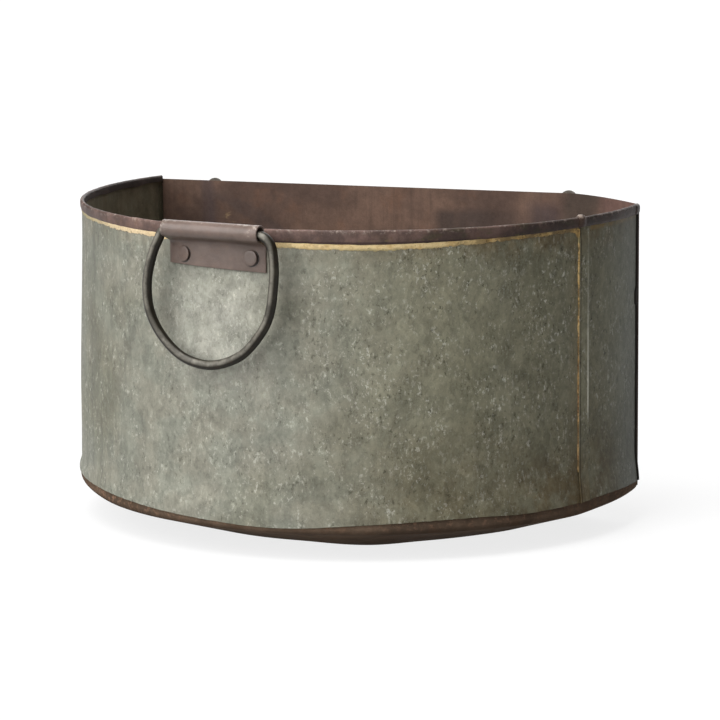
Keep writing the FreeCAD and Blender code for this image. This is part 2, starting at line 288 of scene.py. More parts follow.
# Weathered zinc of the wall; its marks lie between two angles (Turn) or heights, some with a softness
zinc = {
    "sheen": 0.12, "metal": 0.06, "rough": 0.55, "contrast": 1.85, "bump": 0.0005,
    "sage": (148, 149, 136), "warm": (152, 150, 136),
    "coats": {
        "right": ((150, 146, 120), 0.7), "olive": ((116, 113, 92), 0.45),
        "run": ((98, 99, 90), 0.56), "paintedHighlight": ((206, 205, 194), 0.58),
        "pale": ((226, 224, 210), 1.0), "dark": ((70, 68, 56), 1.9),
        "rimStain": ((118, 94, 58), 0.55), "lowStain": ((118, 94, 58), 0.5),
        "earth": ((98, 86, 62), 0.5), "yellow": ((176, 146, 92), 0.6),
        "gap": ((40, 36, 28), 0.6), "edge": ((236, 233, 216), 0.85),
        "slate": ((134, 141, 140), 0.45), "browned": ((98, 86, 62), 0.4),
    },
    "marks": {
        "rightTurn": (8, 48), "leftTurn": (-40, -8), "paintedHighlightTurn": (-9, 9, 8), "paintedHighlight": (0.15, 0.24, 0.045),
        "stainTurn": (20, 60), "stain": (0.234, 0.259), "seamTurn": (73.8, 77.0, 1.0),
        "footTurn": (62, 88, 5), "foot": (0.04, 0.09), "earthTurn": (12, 45), "earth": (0.045, 0.14),
        "yellowTurn": (79.4, 80.4), "yellow": (0.257, 0.2605), "beadShadowTurn": (76.28, 76.6, 0.1),
        "wornTurn": (78.5, 79.02, 0.06), "worn": (0.105, 0.262, 0.01), "wornFade": (0.13, 0.25),
        "slateTurn": (80, 98), "brownedTurn": (80, 87, 4), "browned": (0.075, 0.17),
        "shadeTurn": (28, 60), "shade": (0.19, 0.25), "leftShade": (0.08, 0.14),
        "sideTurn": (79, 81), "smoothTurn": (79, 82), "edgeTurn": (93, 101), "insideCornerShade": (0.034, 0.046),
    },
}


def zincPaint(name, shade, weather):
    coats, at = zinc["coats"], zinc["marks"]
    p = Paint(name, zinc["sheen"])
    angle = p.turned()
    toRight = angle.rise(*at["rightTurn"])
    leftSide = angle.fall(*at["leftTurn"])
    tall = p.stretched((1, 1, 0.62))
    runs = p.stretched((1, 1, 0.03), (0.3, 0.1, 0))
    broad = p.cloud(8, 2)
    patch = p.cloud(30, 4, 0.6)
    tone = p.cloud(38, 6, 0.88, p.stretched((1, 1, 0.8), (1.3, 0.4, 2.1)))
    cluster = p.cloud(48, 3, 0.6, p.stretched((1, 1, 1), (7.1, 3.3, 5.2))).rise(0.4, 0.58)
    fleck = p.cloud(370, 3, 0.7, tall)
    broken = p.shaken(p.stretched((1, 1, 0.7), (3.1, 6.2, 0.7)), 140, 0.004)
    shard = p.cloud(210, 3, 0.7, broken).rise(0.6, 0.66)
    wander = p.cloud(60, 4, 0.65)
    # plates of the zinc's crystals, with uneven edges
    uneven = p.shaken(tall, 60, 0.01)
    plates = (p.cellChance(85, uneven) - 0.5) * 0.14
    plates = plates + (p.cellChance(230, uneven) - 0.5) * 0.2
    p.colour = p.blend(patch.rise(0.4, 0.6), zinc["sage"], zinc["warm"])
    p.lay(toRight, coats["right"])
    p.lay(broad.rise(0.5, 0.7), coats["olive"])
    # runs of dirt down the left side, fainter elsewhere, and the whole left side darker
    streak = p.cloud(90, 4, 0.65, runs)
    runsAndLeftDark = streak.rise(0.45, 0.68) * (0.24 + leftSide * 0.66) + leftSide * 0.34
    p.lay(runsAndLeftDark * weather, coats["run"])
    # painted highlight: a pale patch inside the handle's swing
    paintedHighlight = angle.band(*at["paintedHighlightTurn"]) * p.z.band(*at["paintedHighlight"])
    paintedHighlight = paintedHighlight * (0.6 + patch.rise(0.35, 0.55) * 0.4)
    p.lay(paintedHighlight, coats["paintedHighlight"])
    # pale and dark flecks, in clusters
    strong = weather * (0.25 + toRight * 0.14 + paintedHighlight * 0.14)
    paleFleck = fleck.rise(0.575, 0.625) * (0.14 + cluster * 0.86)
    darkFleck = (1 - fleck).rise(0.59, 0.64) * (0.3 + cluster * 0.6) * (1 - paintedHighlight * 0.7)
    p.lay(paleFleck * strong, coats["pale"])
    p.lay(shard * strong * (0.5 + cluster), coats["pale"])
    p.lay(darkFleck * strong, coats["dark"])
    # brown stain close under the rim, at the seam and low on the right
    stain = p.z.rise(*at["stain"]) * wander.rise(0.32, 0.6) * weather
    stain = stain * (0.25 + angle.rise(*at["stainTurn"]) * 0.75)
    bySeam = angle.band(*at["seamTurn"]) * p.cloud(45, 3, 0.6, runs).rise(0.42, 0.64)
    atFoot = angle.band(*at["footTurn"]) * p.z.fall(*at["foot"]) * wander.rise(0.36, 0.6)
    lowRight = angle.rise(*at["earthTurn"]) * p.z.fall(*at["earth"])
    lowRight = lowRight * (0.35 + wander.rise(0.3, 0.62) * 0.65)
    p.lay(stain, coats["rimStain"])
    p.lay(bySeam * 0.44 + atFoot, coats["lowStain"])
    p.lay(lowRight, coats["earth"])
    # the seam: yellow under the rim beside it, a painted shadow right of the bead, a rubbed edge
    yellow = angle.rise(*at["yellowTurn"]) * p.z.rise(*at["yellow"]) * wander.rise(0.3, 0.55)
    p.lay(yellow * weather, coats["yellow"])
    p.lay(angle.band(*at["beadShadowTurn"]), coats["gap"])
    worn = angle.band(*at["wornTurn"]) * p.z.band(*at["worn"])
    worn = worn * p.cloud(70, 3, 0.7, runs).rise(0.3, 0.5) * (1 - p.z.rise(*at["wornFade"]) * 0.6)
    p.lay(worn, coats["edge"])
    # the side sheet: slate towards the corner, brown low down by the seam
    p.lay(angle.rise(*at["slateTurn"]) * weather, coats["slate"])
    browned = angle.band(*at["brownedTurn"]) * p.z.fall(*at["browned"]) * wander.rise(0.3, 0.6)
    p.lay(browned * weather, coats["browned"])
    # painted shade high on the right and left, on the side sheet and towards the corner; then grain
    highRightShade = angle.rise(*at["shadeTurn"]) * (0.02 + p.z.rise(*at["shade"]) * 0.07)
    highLeftShade = leftSide * p.z.rise(*at["leftShade"]) * 0.06
    edgeShade = angle.rise(*at["sideTurn"]) * 0.1 + angle.rise(*at["edgeTurn"]) * 0.22 * weather
    p.tint(1 - highRightShade - highLeftShade - edgeShade)
    crisp = 0.9 + toRight * 0.1 - leftSide * 0.12 - angle.rise(*at["smoothTurn"]) * 0.25
    grain = (tone - 0.5) * zinc["contrast"] * crisp
    p.tint(1 + grain + (streak - 0.5) * 0.24 + plates * (1 - leftSide * 0.15))
    # painted shade on the inside towards the back corners
    p.tint(1 - p.y.rise(*at["insideCornerShade"]) * (1 - weather) * 0.55)
    p.colour = p.blend(1.0, p.colour, shade, "MULTIPLY")
    rough = zinc["rough"] + (tone - 0.5) * 0.6 - paleFleck * 0.1
    metal = zinc["metal"] + paleFleck * 0.1
    height = patch * 0.6 + tone * 0.4 + paleFleck * 0.25 - darkFleck * 0.3
    return p.finish(rough, height, zinc["bump"], metal)


# Brown steel: one recipe, and a dictionary of settings for each piece
brown = {"rustScale": 2.3, "bump": 0.0004, "strokes": 0.3, "wear": 0.8}


def brownSteel(name, look):
    # colour and masks of the shared recipe, for a piece's own function to add to
    p = Paint(name, look["sheen"])
    p.patch = p.cloud(look["patch"], 4, 0.6)
    p.tone = p.cloud(46, 6, 0.9, p.stretched((1, 1, 1), (2.3, 1.4, 0.6)))
    p.specks = p.cloud(230, 4, 0.75).rise(0.5, 0.66)
    strokes = p.cloud(190, 3, 0.6, p.stretched((1, 1, 0.12), (2.1, 0.7, 0.4)))
    spots = p.cloud(look["patch"] * brown["rustScale"], 4, 0.65, p.stretched((1, 1, 1), (5.1, 1.9, 3.3)))
    p.rustSpots = spots.rise(0.5, 0.7)
    p.colour = p.blend(p.patch.rise(0.38, 0.64), look["dark"], look["main"])
    p.lay(p.rustSpots, (look["rust"], look["rustShare"]))
    p.lay(strokes.rise(0.54, 0.72), (look["dark"], brown["strokes"]))
    p.worn = p.z.rise(*look["wear"]) * p.specks
    return p


def brownFinish(p, look):
    p.lay(p.worn, (look["worn"], brown["wear"]))
    p.tint(1 + (p.tone - 0.5) * look["contrast"])
    rough = look["rough"] + (p.tone - 0.5) * 0.5 - p.worn * 0.12
    height = p.tone + p.patch * 0.4 - p.rustSpots * 0.15
    return p.finish(rough, height, brown["bump"])


baseLook = {
    "main": (134, 113, 95), "dark": (112, 94, 79), "worn": (138, 108, 88), "rust": (128, 98, 77),
    "patch": 30, "rustShare": 0.4, "contrast": 1.2, "rough": 0.85, "sheen": 0.05, "wear": (0.022, 0.032),
    "plain": 0.8, "frontY": (-0.06, 0.0), "outer": (0.15, 0.185),
    "low": (0.008, 0.026), "lowTurn": (4, 46, 10),
}


def basePaint():
    # darker to the left and under the front's right half, paler low down where it slopes in
    look = baseLook
    p = brownSteel("baseBrown", look)
    angle = p.turned()
    level = 0.53 + angle.rise(-14, 12) * 0.41 - angle.rise(12, 38) * 0.28 + angle.rise(56, 80) * 0.19
    level = level + p.z.fall(*look["low"]) * angle.band(*look["lowTurn"]) * 0.38
    # the angle jumps behind the axis, so this stays in front of it
    atFront = p.y.fall(*look["frontY"]) * p.reach().rise(*look["outer"])
    p.tint(look["plain"] + (level - look["plain"]) * atFront)
    return brownFinish(p, look)


rimLook = {
    "main": (126, 102, 94), "dark": (90, 74, 69), "worn": (176, 160, 148), "rust": (112, 86, 66),
    "patch": 38, "rustShare": 0.35, "contrast": 1.7, "rough": 0.5, "sheen": 0.15, "wear": (0.2656, 0.2704),
    "olive": ((92, 88, 66), 0.5), "oliveTurn": (20, 50), "lipWaver": 0.0016,
    "line": ((128, 116, 70), 0.7), "lineTurn": (14, 66, 8), "lineHeight": (0.2614, 0.2622, 0.0004),
    "lip": ((62, 50, 48), 0.65), "lipShadowTurn": (8, 60, 6), "lipShadowHeight": (0.2604, 0.2613),
    "inside": ((80, 76, 74), 0.75), "insideReach": (0.2388, 0.2402),
    "rightTurn": (18, 80), "endTurn": (77, 84), "leftTurn": (-48, -18), "dullTurn": (35, 70),
    "jointHighlightTurn": (75.9, 76.7, 0.3), "jointHighlightHeight": (0.2685, 0.271),
}


def rimPaint():
    # a darker grey of painted shade inside the tub, olive stain, a painted shadow along the lower lip, and
    # specks of wear along the crown that partly stand for its painted highlight
    look = rimLook
    p = brownSteel("rimBrown", look)
    angle = p.turned()
    olive = p.cloud(55, 4, 0.65, p.stretched((1, 1, 2.5), (3.7, 0.2, 1.1))).rise(0.5, 0.66)
    p.lay(olive * angle.rise(*look["oliveTurn"]), look["olive"])
    height = p.z + (p.patch - 0.5) * look["lipWaver"]
    line = height.band(*look["lineHeight"]) * angle.band(*look["lineTurn"]) * p.specks
    p.lay(line, look["line"])
    # painted shadow along the turned-in lower lip
    p.lay(height.fall(*look["lipShadowHeight"]) * angle.band(*look["lipShadowTurn"]), look["lip"])
    inside = p.reach().fall(*look["insideReach"])
    p.lay(inside, look["inside"])
    # painted shade darkens it towards the right end; it is also darker at the far left, and its inside face
    # is painted lighter again
    rimShade = angle.rise(*look["rightTurn"]) * 0.6 + angle.rise(*look["endTurn"]) * 0.08
    p.tint(1 - rimShade)
    p.tint(0.56 + angle.rise(*look["leftTurn"]) * 0.46 + inside * 0.35)
    # wear specks along the crown, partly a painted highlight; fewer inside and towards the right
    p.worn = p.worn * (1 - inside * 0.8) * 0.8 * (1 - angle.rise(*look["dullTurn"]) * 0.45)
    # painted highlight on the joint's swelling
    p.worn = p.worn + angle.band(*look["jointHighlightTurn"]) * p.z.rise(*look["jointHighlightHeight"]) * 0.7
    return brownFinish(p, look)


# Clip rivets: flat pressed heads outside, smaller tails inside; (radius, height) in mm
rivet = {
    "angles": (-7.75, 7.2), "z": 0.2464, "seat": 0.24195, "sides": 40, "tilt": 8, "lift": 0.05,
    "line": [(1.0, 1.12), (4.0, 1.1), (5.5, 1.04), (6.1, 0.9), (6.42, 0.66), (6.54, 0.38), (6.48, 0.12),
             (6.2, -0.1), (2.4, -0.2), (2.4, -2.5), (4.0, -2.6), (3.9, -3.1), (3.2, -3.5), (1.0, -3.7)],
}
clipLook = {
    "main": (116, 98, 89), "dark": (101, 85, 76), "worn": (180, 168, 157), "rust": (120, 92, 76),
    "patch": 50, "rustShare": 0.2, "contrast": 0.7, "rough": 0.38, "sheen": 0.55, "wear": (0.2728, 0.2743),
    "rightEnd": (0.033, 0.0449), "leftEnd": (-0.0449, -0.038), "endHeight": (0.2615, 0.264),
    "gap": ((40, 30, 26), 0.9), "rivetShadowReach": (0.0064, 0.0074, 0.0003), "rivetShadowSide": (-0.001, 0.0035),
}


def clipPaint():
    # worn bright along the roll's top and at its two ends
    look = clipLook
    p = brownSteel("clipBrown", look)
    ends = p.x.rise(*look["rightEnd"]) + p.x.fall(*look["leftEnd"]) * 0.7
    p.worn = p.worn * 0.8 + ends * p.z.rise(*look["endHeight"]) * p.specks * 1.2
    # painted shadow in the gap at the lower right of each rivet head, the side away from the light
    for angle in rivet["angles"]:
        middle = polar(rivet["seat"], angle, rivet["z"])
        lowRight = (p.x - middle.x) - (p.z - middle.z) * 0.4
        rivetShadow = p.apart(middle.x, middle.z).band(*look["rivetShadowReach"]) * lowRight.rise(*look["rivetShadowSide"])
        p.lay(rivetShadow, look["gap"])
    return brownFinish(p, look)


# Marks on the back lie between two places along it (x) or two heights (z)
backLook = {
    "main": (107, 85, 73), "dark": (84, 67, 59), "worn": (150, 122, 100), "rust": (116, 82, 62),
    "patch": 14, "rustShare": 0.3, "contrast": 1.3, "rough": 0.6, "sheen": 0.12, "wear": (0.276, 0.279),
    "waver": 0.02, "insideY": (0.0504, 0.0508), "insideZ": (0.175, 0.235),
    "squared": ((66, 56, 52), 0.85), "squaredX": (0.038, 0.054), "squaredZ": (0.2505, 0.259),
    "squaredFade": (0.065, 0.14), "slant": ((74, 62, 58), 0.65), "slantZ": (0.25, 0.262),
    "slantLine": (0.3, 0.326, 0.006), "slantSlope": 1.9,
    "purple": ((66, 57, 58), 0.75), "purpleX": (0.136, 0.166, 0.01), "purpleZ": (0.258, 0.27),
    "purpleLeft": (-0.192, -0.18, 0.004), "leftX": (-0.205, -0.185),
    "shadow": ((72, 62, 55), 0.8), "shadowX": (0.166, 0.197, 0.006),
    "rosy": ((118, 90, 84), 0.5), "rosyX": (0.197, 0.204),
    "spot": ((146, 122, 92), 0.75), "spotPlace": (-0.1635, 0.2347), "spotReach": (0.003, 0.008),
}
# the folded ends: the back's brown painted nearly black, as painted shade where they turn round the corners
shadedFoldLook = dict(backLook, main=(36, 30, 26), dark=(24, 21, 19), rust=(52, 36, 28), sheen=0.04)


def backPaint():
    # dark marks: a squared patch towards the right, a slanting one towards the left
    look = backLook
    p = brownSteel("backBrown", look)
    wander = (p.patch - 0.5) * look["waver"]
    along, nearby = p.x + wander, p.x + wander * 0.5
    inside = p.y.fall(*look["insideY"]) * p.z.rise(*look["insideZ"])
    purple = along.band(*look["purpleX"]) * (1 - p.z.rise(*look["purpleZ"]) * 0.7)
    purple = purple + nearby.band(*look["purpleLeft"]) * 0.8
    squared = along.rise(*look["squaredX"]) * (1 - p.x.rise(*look["squaredFade"]) * 0.9)
    squared = squared * (p.z + wander * 0.4).fall(*look["squaredZ"])
    slant = (along + p.z * look["slantSlope"]).band(*look["slantLine"]) * p.z.fall(*look["slantZ"])
    masks = {
        "purple": purple, "shadow": nearby.band(*look["shadowX"]), "rosy": p.x.rise(*look["rosyX"]),
        "spot": p.apart(*look["spotPlace"]).fall(*look["spotReach"]) * p.specks,
        "squared": squared, "slant": slant,
    }
    for mark, mask in masks.items():
        p.lay(mask * inside, look[mark])
    strokes = p.cloud(120, 4, 0.65, p.stretched((1, 1, 0.06), (1.1, 5.2, 0.9))).rise(0.5, 0.64)
    p.lay(strokes, (look["dark"], 0.35))
    # painted shade towards the left corner
    p.tint(1 - along.fall(*look["leftX"]) * inside * 0.28)
    return brownFinish(p, look)


# Gold line under the rim and down the seam
goldLook = {
    "cream": (238, 212, 158), "gold": (204, 168, 106), "pink": ((224, 202, 168), 0.75),
    "farLeft": ((146, 138, 100), 1.0), "lowEdge": ((146, 138, 100), 0.7),
    "rust": ((140, 104, 72), 1.0), "dark": ((92, 76, 52), 1.0), "sheen": 0.3, "bump": 0.0005,
    "rightTurn": (38, 60), "pinkTurn": (-20, -8), "leftTurn": (-52, -22), "rustTop": (0.145, 0.2),
    "edge": (0.2535, 0.2565), "edgeFoot": (0.248, 0.25), "edgeWaver": 0.006,
}


def goldPaint():
    look = goldLook
    p = Paint("goldLine", look["sheen"])
    angle = p.turned()
    patch = p.cloud(80, 4, 0.65)
    speck = p.cloud(300, 4, 0.7)
    toRight = angle.rise(*look["rightTurn"])
    p.colour = p.blend(patch.rise(0.48, 0.66) * 0.6 + toRight * 0.7, look["cream"], look["gold"])
    p.lay(angle.fall(*look["pinkTurn"]), look["pink"])
    p.lay(angle.fall(*look["leftTurn"]) * (0.5 + patch * 0.7), look["farLeft"])
    # the lower half of the seam has turned to rust
    rusty = p.cloud(130, 4, 0.65, p.stretched((1, 1, 1.6), (4.4, 1.2, 3.9))).rise(0.5, 0.66)
    lowSeam = p.z.fall(*look["rustTop"]) * (0.55 + rusty * 0.45)
    p.lay(rusty * (0.25 + toRight * 0.4) + lowSeam, look["rust"])
    bare = p.cloud(60, 4, 0.7, p.stretched((1, 1, 2.2), (2.4, 8.2, 1.9))).rise(0.4, 0.58) * toRight
    p.lay(speck.rise(0.56, 0.68) * 0.6 + bare * 0.75, look["dark"])
    lowEdge = (p.z + (patch - 0.5) * look["edgeWaver"]).fall(*look["edge"]) * p.z.rise(*look["edgeFoot"])
    p.lay(lowEdge, look["lowEdge"])
    p.tint(1 + (speck - 0.5) * 0.8)
    return p.finish(0.5 + speck * 0.2, speck, look["bump"])


# Handle bar: dark iron with an olive cast, and a painted highlight on the faces turned to the front and up
barLook = {
    "iron": (34, 30, 23), "light": ((54, 49, 38), 0.7), "brown": ((50, 39, 28), 0.6),
    "worn": ((176, 171, 158), 0.55), "barHighlight": (0.0, -0.9, 0.43), "barHighlightShare": (0.68, 1.0),
    "metal": 0.05, "rough": 0.3, "sheen": 0.2, "bump": 0.00012,
}


def barPaint():
    look = barLook
    p = Paint("barIron", look["sheen"])
    patch = p.cloud(60, 4, 0.6)
    grain = p.cloud(300, 4, 0.7)
    normal = p.node("TexCoord", out="Normal")
    facing = p.node("VectorMath", {"operation": "DOT_PRODUCT"}, {0: normal, 1: look["barHighlight"]}, "Value")
    p.colour = look["iron"]
    p.lay(patch.rise(0.45, 0.68), look["light"])
    p.lay(p.cloud(130, 3, 0.6).rise(0.54, 0.7), look["brown"])
    # painted highlight, by which way the bar's surface faces
    barHighlight = facing.rise(*look["barHighlightShare"]) * (0.4 + patch.rise(0.4, 0.6) * 0.6)
    p.lay(barHighlight, look["worn"])
    p.tint(1 + (grain - 0.5) * 0.9)
    return p.finish(look["rough"] + grain * 0.1, grain * 0.4 + patch, look["bump"], look["metal"])


# Dull zinc of the hanging tabs; the rivet heads inside the tub are painted over in brown
tabLook = {
    "zinc": (116, 110, 102), "dull": ((84, 78, 70), 1.0), "rust": ((120, 92, 68), 0.6),
    "inside": ((88, 70, 61), 1.0), "insideY": (0.0502, 0.0506),
    "metal": 0.6, "rough": 0.45, "sheen": 0.4, "bump": 0.0003,
}


def tabPaint():
    look = tabLook
    p = Paint("tabZinc", look["sheen"])
    patch = p.cloud(90, 3, 0.6)
    grain = p.cloud(500, 4, 0.7)
    inside = p.y.fall(*look["insideY"])
    p.colour = look["zinc"]
    p.lay(patch.rise(0.4, 0.65), look["dull"])
    p.lay(p.cloud(170, 3, 0.6).rise(0.54, 0.68), look["rust"])
    p.lay(inside, look["inside"])
    p.tint(1 + (grain - 0.5) * 0.8)
    metal = (1 - inside) * (look["metal"] - patch * 0.3)
    return p.finish(look["rough"] + grain * 0.2, grain, look["bump"], metal)


# one zinc in three copies: outside; inside, less weathered and painted a little lighter as painted light;
# the inner corner strip painted darker as painted shade
zincOut = zincPaint("zincOutside", (242, 242, 242), 1.0)
zincIn = zincPaint("zincInside", (255, 245, 232), 0.3)
zincCornerShade = zincPaint("zincCornerShade", (186, 178, 164), 0.3)
rimBrown = rimPaint()
clipBrown = clipPaint()
backBrown = backPaint()
shadedFoldBrown = brownFinish(brownSteel("shadedFoldBrown", shadedFoldLook), shadedFoldLook)
baseBrown = basePaint()
goldMaterial = goldPaint()
barIron = barPaint()
tabZinc = tabPaint()
print("materials made")

# Wall: two bent sheets with a flared foot, a wavy lower edge and small dents. footLine is heights in
# mm by angle, Turn is degrees, and a pair is where a change begins and ends.
wall = {
    "radius": 0.24, "sheet": 0.0007, "top": 0.268, "backPlane": 0.04985, "corner": 102.0,
    "columns": 170, "rowSplit": 0.066, "lowRows": 14, "highRows": 26,
    "footLine": [(-102, 34.5), (-61, 38), (-45, 36.6), (-29, 34.2), (-5, 29.7), (12, 27.3), (26, 30.6),
                 (40, 33.3), (52, 34), (61, 32.6), (75, 33.6), (84, 35.2), (102, 34.6)],
    "flare": 0.00202, "sharpTurn": (30, 52), "slowFlare": (0.034, 0.06), "sharpFlare": (0.04, 0.0485),
    "bulge": 0.0034, "bulgeTurn": -57, "bulgeWidth": 22, "fadeTurn": (-94, -74), "bulgeHeight": (0.1, 0.27),
    "dent": 0.0004, "dentFoot": (0.05, 0.075), "dentTop": (0.235, 0.256),
}


def footEdge(degrees):
    ragged = 0.35 * waver(degrees * 0.9, 3) + 0.2 * waver(degrees * 3.1, 4)
    return (through(wall["footLine"], degrees) + ragged) * mm


def outOfRound(degrees, z):
    # the left side stands out a little towards its foot
    apart = (degrees - wall["bulgeTurn"]) / wall["bulgeWidth"]
    reach = math.exp(-apart ** 2) * ease(degrees, *wall["fadeTurn"])
    return wall["bulge"] * reach * (1 - ease(z, *wall["bulgeHeight"]))


def wallRadius(degrees, z):
    # the flare turns out sharply at the left and slowly elsewhere
    sharp = ease(-degrees, *wall["sharpTurn"])
    full, neck = [mixed(a, b, sharp) for a, b in zip(wall["slowFlare"], wall["sharpFlare"])]
    flare = wall["flare"] * (1 - ease(z, full, neck))
    arc = math.radians(degrees) * wall["radius"]
    dent = 0.5 + 0.5 * noise.noise(Vector((arc * 9, z * 7, 1.5)))
    dent += 0.3 * noise.noise(Vector((arc * 26, z * 22, 8.5)))
    held = ease(z, *wall["dentFoot"]) * (1 - ease(z, *wall["dentTop"]))
    return wall["radius"] + outOfRound(degrees, z) + flare - wall["dent"] * dent * held


def onWall(degrees, z, lift=0.0):
    p = polar(wallRadius(degrees, z) + lift, degrees, z)
    p.y = min(p.y, wall["backPlane"])
    return p


def wallLevels(foot):
    low = spread(foot, wall["rowSplit"], wall["lowRows"])
    return low + spread(wall["rowSplit"], wall["top"], wall["highRows"])[1:]


def buildFrontWall(made):
    angles = spread(-wall["corner"], seam["start"] + seam["lap"], wall["columns"])
    outside = [[onWall(a, z) for z in wallLevels(footEdge(a))] for a in angles]
    inside = [[onWall(a, z, -wall["sheet"]) for z in wallLevels(footEdge(a))] for a in angles]
    sheetFaces(made, outside, inside, 1)


# Seam: the side sheet's end, folded over the front sheet's; hook is its turned-in edge, with the
# angle from the start and the lifts of the outer and inner face
seam = {
    "proud": 0.0015, "start": 76.3, "end": 79.0, "lap": 0.15, "slope": 0.42, "underRim": 0.259,
    "hook": [(0.06, 0.0006, 0.001), (-0.1, 0.0007, 0.0011), (-0.2, 0.001, 0.0011),
             (-0.18, 0.001, 0.0008), (-0.06, 0.0014, 0.0008), (0.12, 0.0015, 0.0008)],
}


def seamPlan():
    # (angle, lift of the outer face, lift of the inner face) across the folded seam and on to the corner
    start, end, proud, sheet = seam["start"], seam["end"], seam["proud"], wall["sheet"]
    plan = [(start + turn, outer, inner) for turn, outer, inner in seam["hook"]]
    plan += [(a, proud, proud - sheet) for a in spread(start + 0.5, end - 0.2, 6)]
    for t in (0.0, 0.15, 0.35, 0.6, 0.85, 1.0):
        drop = proud * (1 - ease(t, 0, 1))
        plan.append((end + t * seam["slope"], drop, drop - sheet))
    plan += [(a, 0.0, -sheet) for a in spread(end + 0.9, wall["corner"], 26)]
    return plan


def pressed(lift, z):
    # the fold is hammered flat where it runs under the rim
    flat = min(lift, 0.0001) if lift > 0 else lift
    return mixed(lift, flat, ease(z, seam["underRim"] - 0.004, seam["underRim"]))


def buildSideWall(made):
    outside, inside = [], []
    for a, up, under in seamPlan():
        levels = wallLevels(footEdge(a))
        outside.append([onWall(a, z, pressed(up, z)) for z in levels])
        inside.append([onWall(a, z, min(pressed(under, z), pressed(up, z) - 0.0003)) for z in levels])
    sheetFaces(made, outside, inside, 1)


newPiece("wallFront", buildFrontWall, "tub", ["front_sheet"], [zincOut, zincIn])
newPiece("wallSide", buildSideWall, "tub", ["side_sheet"], [zincOut, zincIn])

# Rim trim: a folded strip over the wall's edge. topLine and lowLine are heights in mm by angle; lip
# is how the lower edge turns in, as share of the face's height and mm
rim = {
    "outer": 0.2414, "inner": 0.2379, "sheet": 0.001, "innerLow": 0.264, "edge": 0.00035,
    "split": 77.4, "joint": 75.9, "lapOut": 0.0016, "lapUp": 0.0021, "frontColumns": 200, "sideColumns": 170,
    "topLine": [(-102, 269.2), (-70, 269.4), (-30, 270.2), (76, 270.2), (102, 270)],
    "lowLine": [(-102, 261.5), (-42, 261.6), (-17, 260.5), (17, 259.2), (30, 258.4), (48, 259.7),
                (70, 261.4), (79, 262), (102, 261.4)],
    "lip": [(0.0, 1.15), (0.05, 0.85), (0.14, 0.55), (0.28, 0.27), (0.45, 0.08), (0.7, 0.0)],
}


def rimLow(degrees):
    return (through(rim["lowLine"], degrees) + 0.25 * waver(degrees * 0.8, 11)) * mm


def rimProfile(degrees, grow, lift):
    # outer face from its lower lip, over the round crown, down the inner leg; then the hollow side
    low = rimLow(degrees)
    top = through(rim["topLine"], degrees) * mm + lift + 0.0003 * waver(degrees * 0.35, 13)
    outer = rim["outer"] + grow + 0.00012 * waver(degrees * 0.5, 14)
    inner = rim["inner"] - grow
    middle, half = (outer + inner) / 2, (outer - inner) / 2
    spring = top - half
    sheet = rim["sheet"]
    face, hollow = [], []

    def add(r, z, hollowR, hollowZ):
        face.append((r, z))
        hollow.append((hollowR, hollowZ))

    for share, tuck in rim["lip"]:
        z = mixed(low, spring, share)
        add(outer - tuck * mm, z, outer - max(sheet, tuck * mm + rim["edge"]), z)
    for step in range(13):
        a = math.pi * step / 12
        add(middle + half * math.cos(a), spring + half * math.sin(a),
            middle + (half - sheet) * math.cos(a), spring + (half - sheet) * math.sin(a))
    sag = (0.0012 + 0.001 * waver(degrees * 0.22, 15)) * (1 - ease(abs(degrees), 94, 98))
    for share in (0.4, 0.8, 1.0):
        z = mixed(spring, rim["innerLow"] - sag, share)
        add(inner, z, inner + sheet, z)
    return face, hollow


def buildRim(start, end, count, grow=0, lift=0):
    # swollen where its start laps over the strip before it, and a little at its end
    def build(made):
        outside, inside = [], []
        for a in spread(start, end, count):
            lap = mixed(0.5, 1, ease(a, start, start + 0.6)) * (1 - ease(a, start + 1.0, start + 2.4))
            cap = 0.6 * ease(a, end - 2.6, end - 2.0)
            face, hollow = rimProfile(a, grow * (lap + cap), lift * lap)
            for grid, line in ((outside, face), (inside, hollow)):
                row = [polar(r, a, z) for r, z in line]
                for p in row:
                    p.y = min(p.y, wall["backPlane"])
                grid.append(row)
        sheetFaces(made, outside, inside)
    return build


buildRimFront = buildRim(-wall["corner"], rim["split"], rim["frontColumns"])
buildRimSide = buildRim(rim["joint"], wall["corner"], rim["sideColumns"], rim["lapOut"], rim["lapUp"])
newPiece("rimFront", buildRimFront, "tub", ["rim_front"], [rimBrown])
newPiece("rimSide", buildRimSide, "tub", ["rim_side"], [rimBrown])

# Gold line: a thin ragged film on the wall under the rim, and a bead that runs on down the seam.
# tall is the film's height in mm by angle; a section is (share of the width, lift).
gold = {
    "thick": 0.0004, "lap": 0.0012, "least": 0.4, "from": -101.5, "to": 76.0, "columns": 900,
    "tall": [(-102, 1.2), (-60, 1.9), (-32, 3.0), (-14, 3.9), (6, 4.0), (16, 3.9), (24, 4.3), (36, 4.3),
             (46, 3.9), (56, 3.1), (68, 2.4), (73.3, 2.8), (74.9, 4.6), (75.9, 9.0)],
    "section": [(0.0, 1.0), (0.2, 1.0), (0.5, 0.9), (0.8, 0.75), (1.0, 0.15)],
    "beadFrom": 0.2605, "beadTo": 0.059, "beadWide": 0.33, "beadRows": 170,
    "beadSection": [(0.0, 0.0002), (0.2, 0.0006), (0.4, 0.0009), (0.6, 0.001), (0.8, 0.001), (1.0, 0.0007)],
}


def goldFoot(degrees):
    ragged = 0.9 * waver(degrees * 0.7, 21) + 0.8 * waver(degrees * 1.7, 22) + 0.6 * waver(degrees * 3.1, 23)
    return rimLow(degrees) - max(gold["least"], through(gold["tall"], degrees) + ragged) * mm


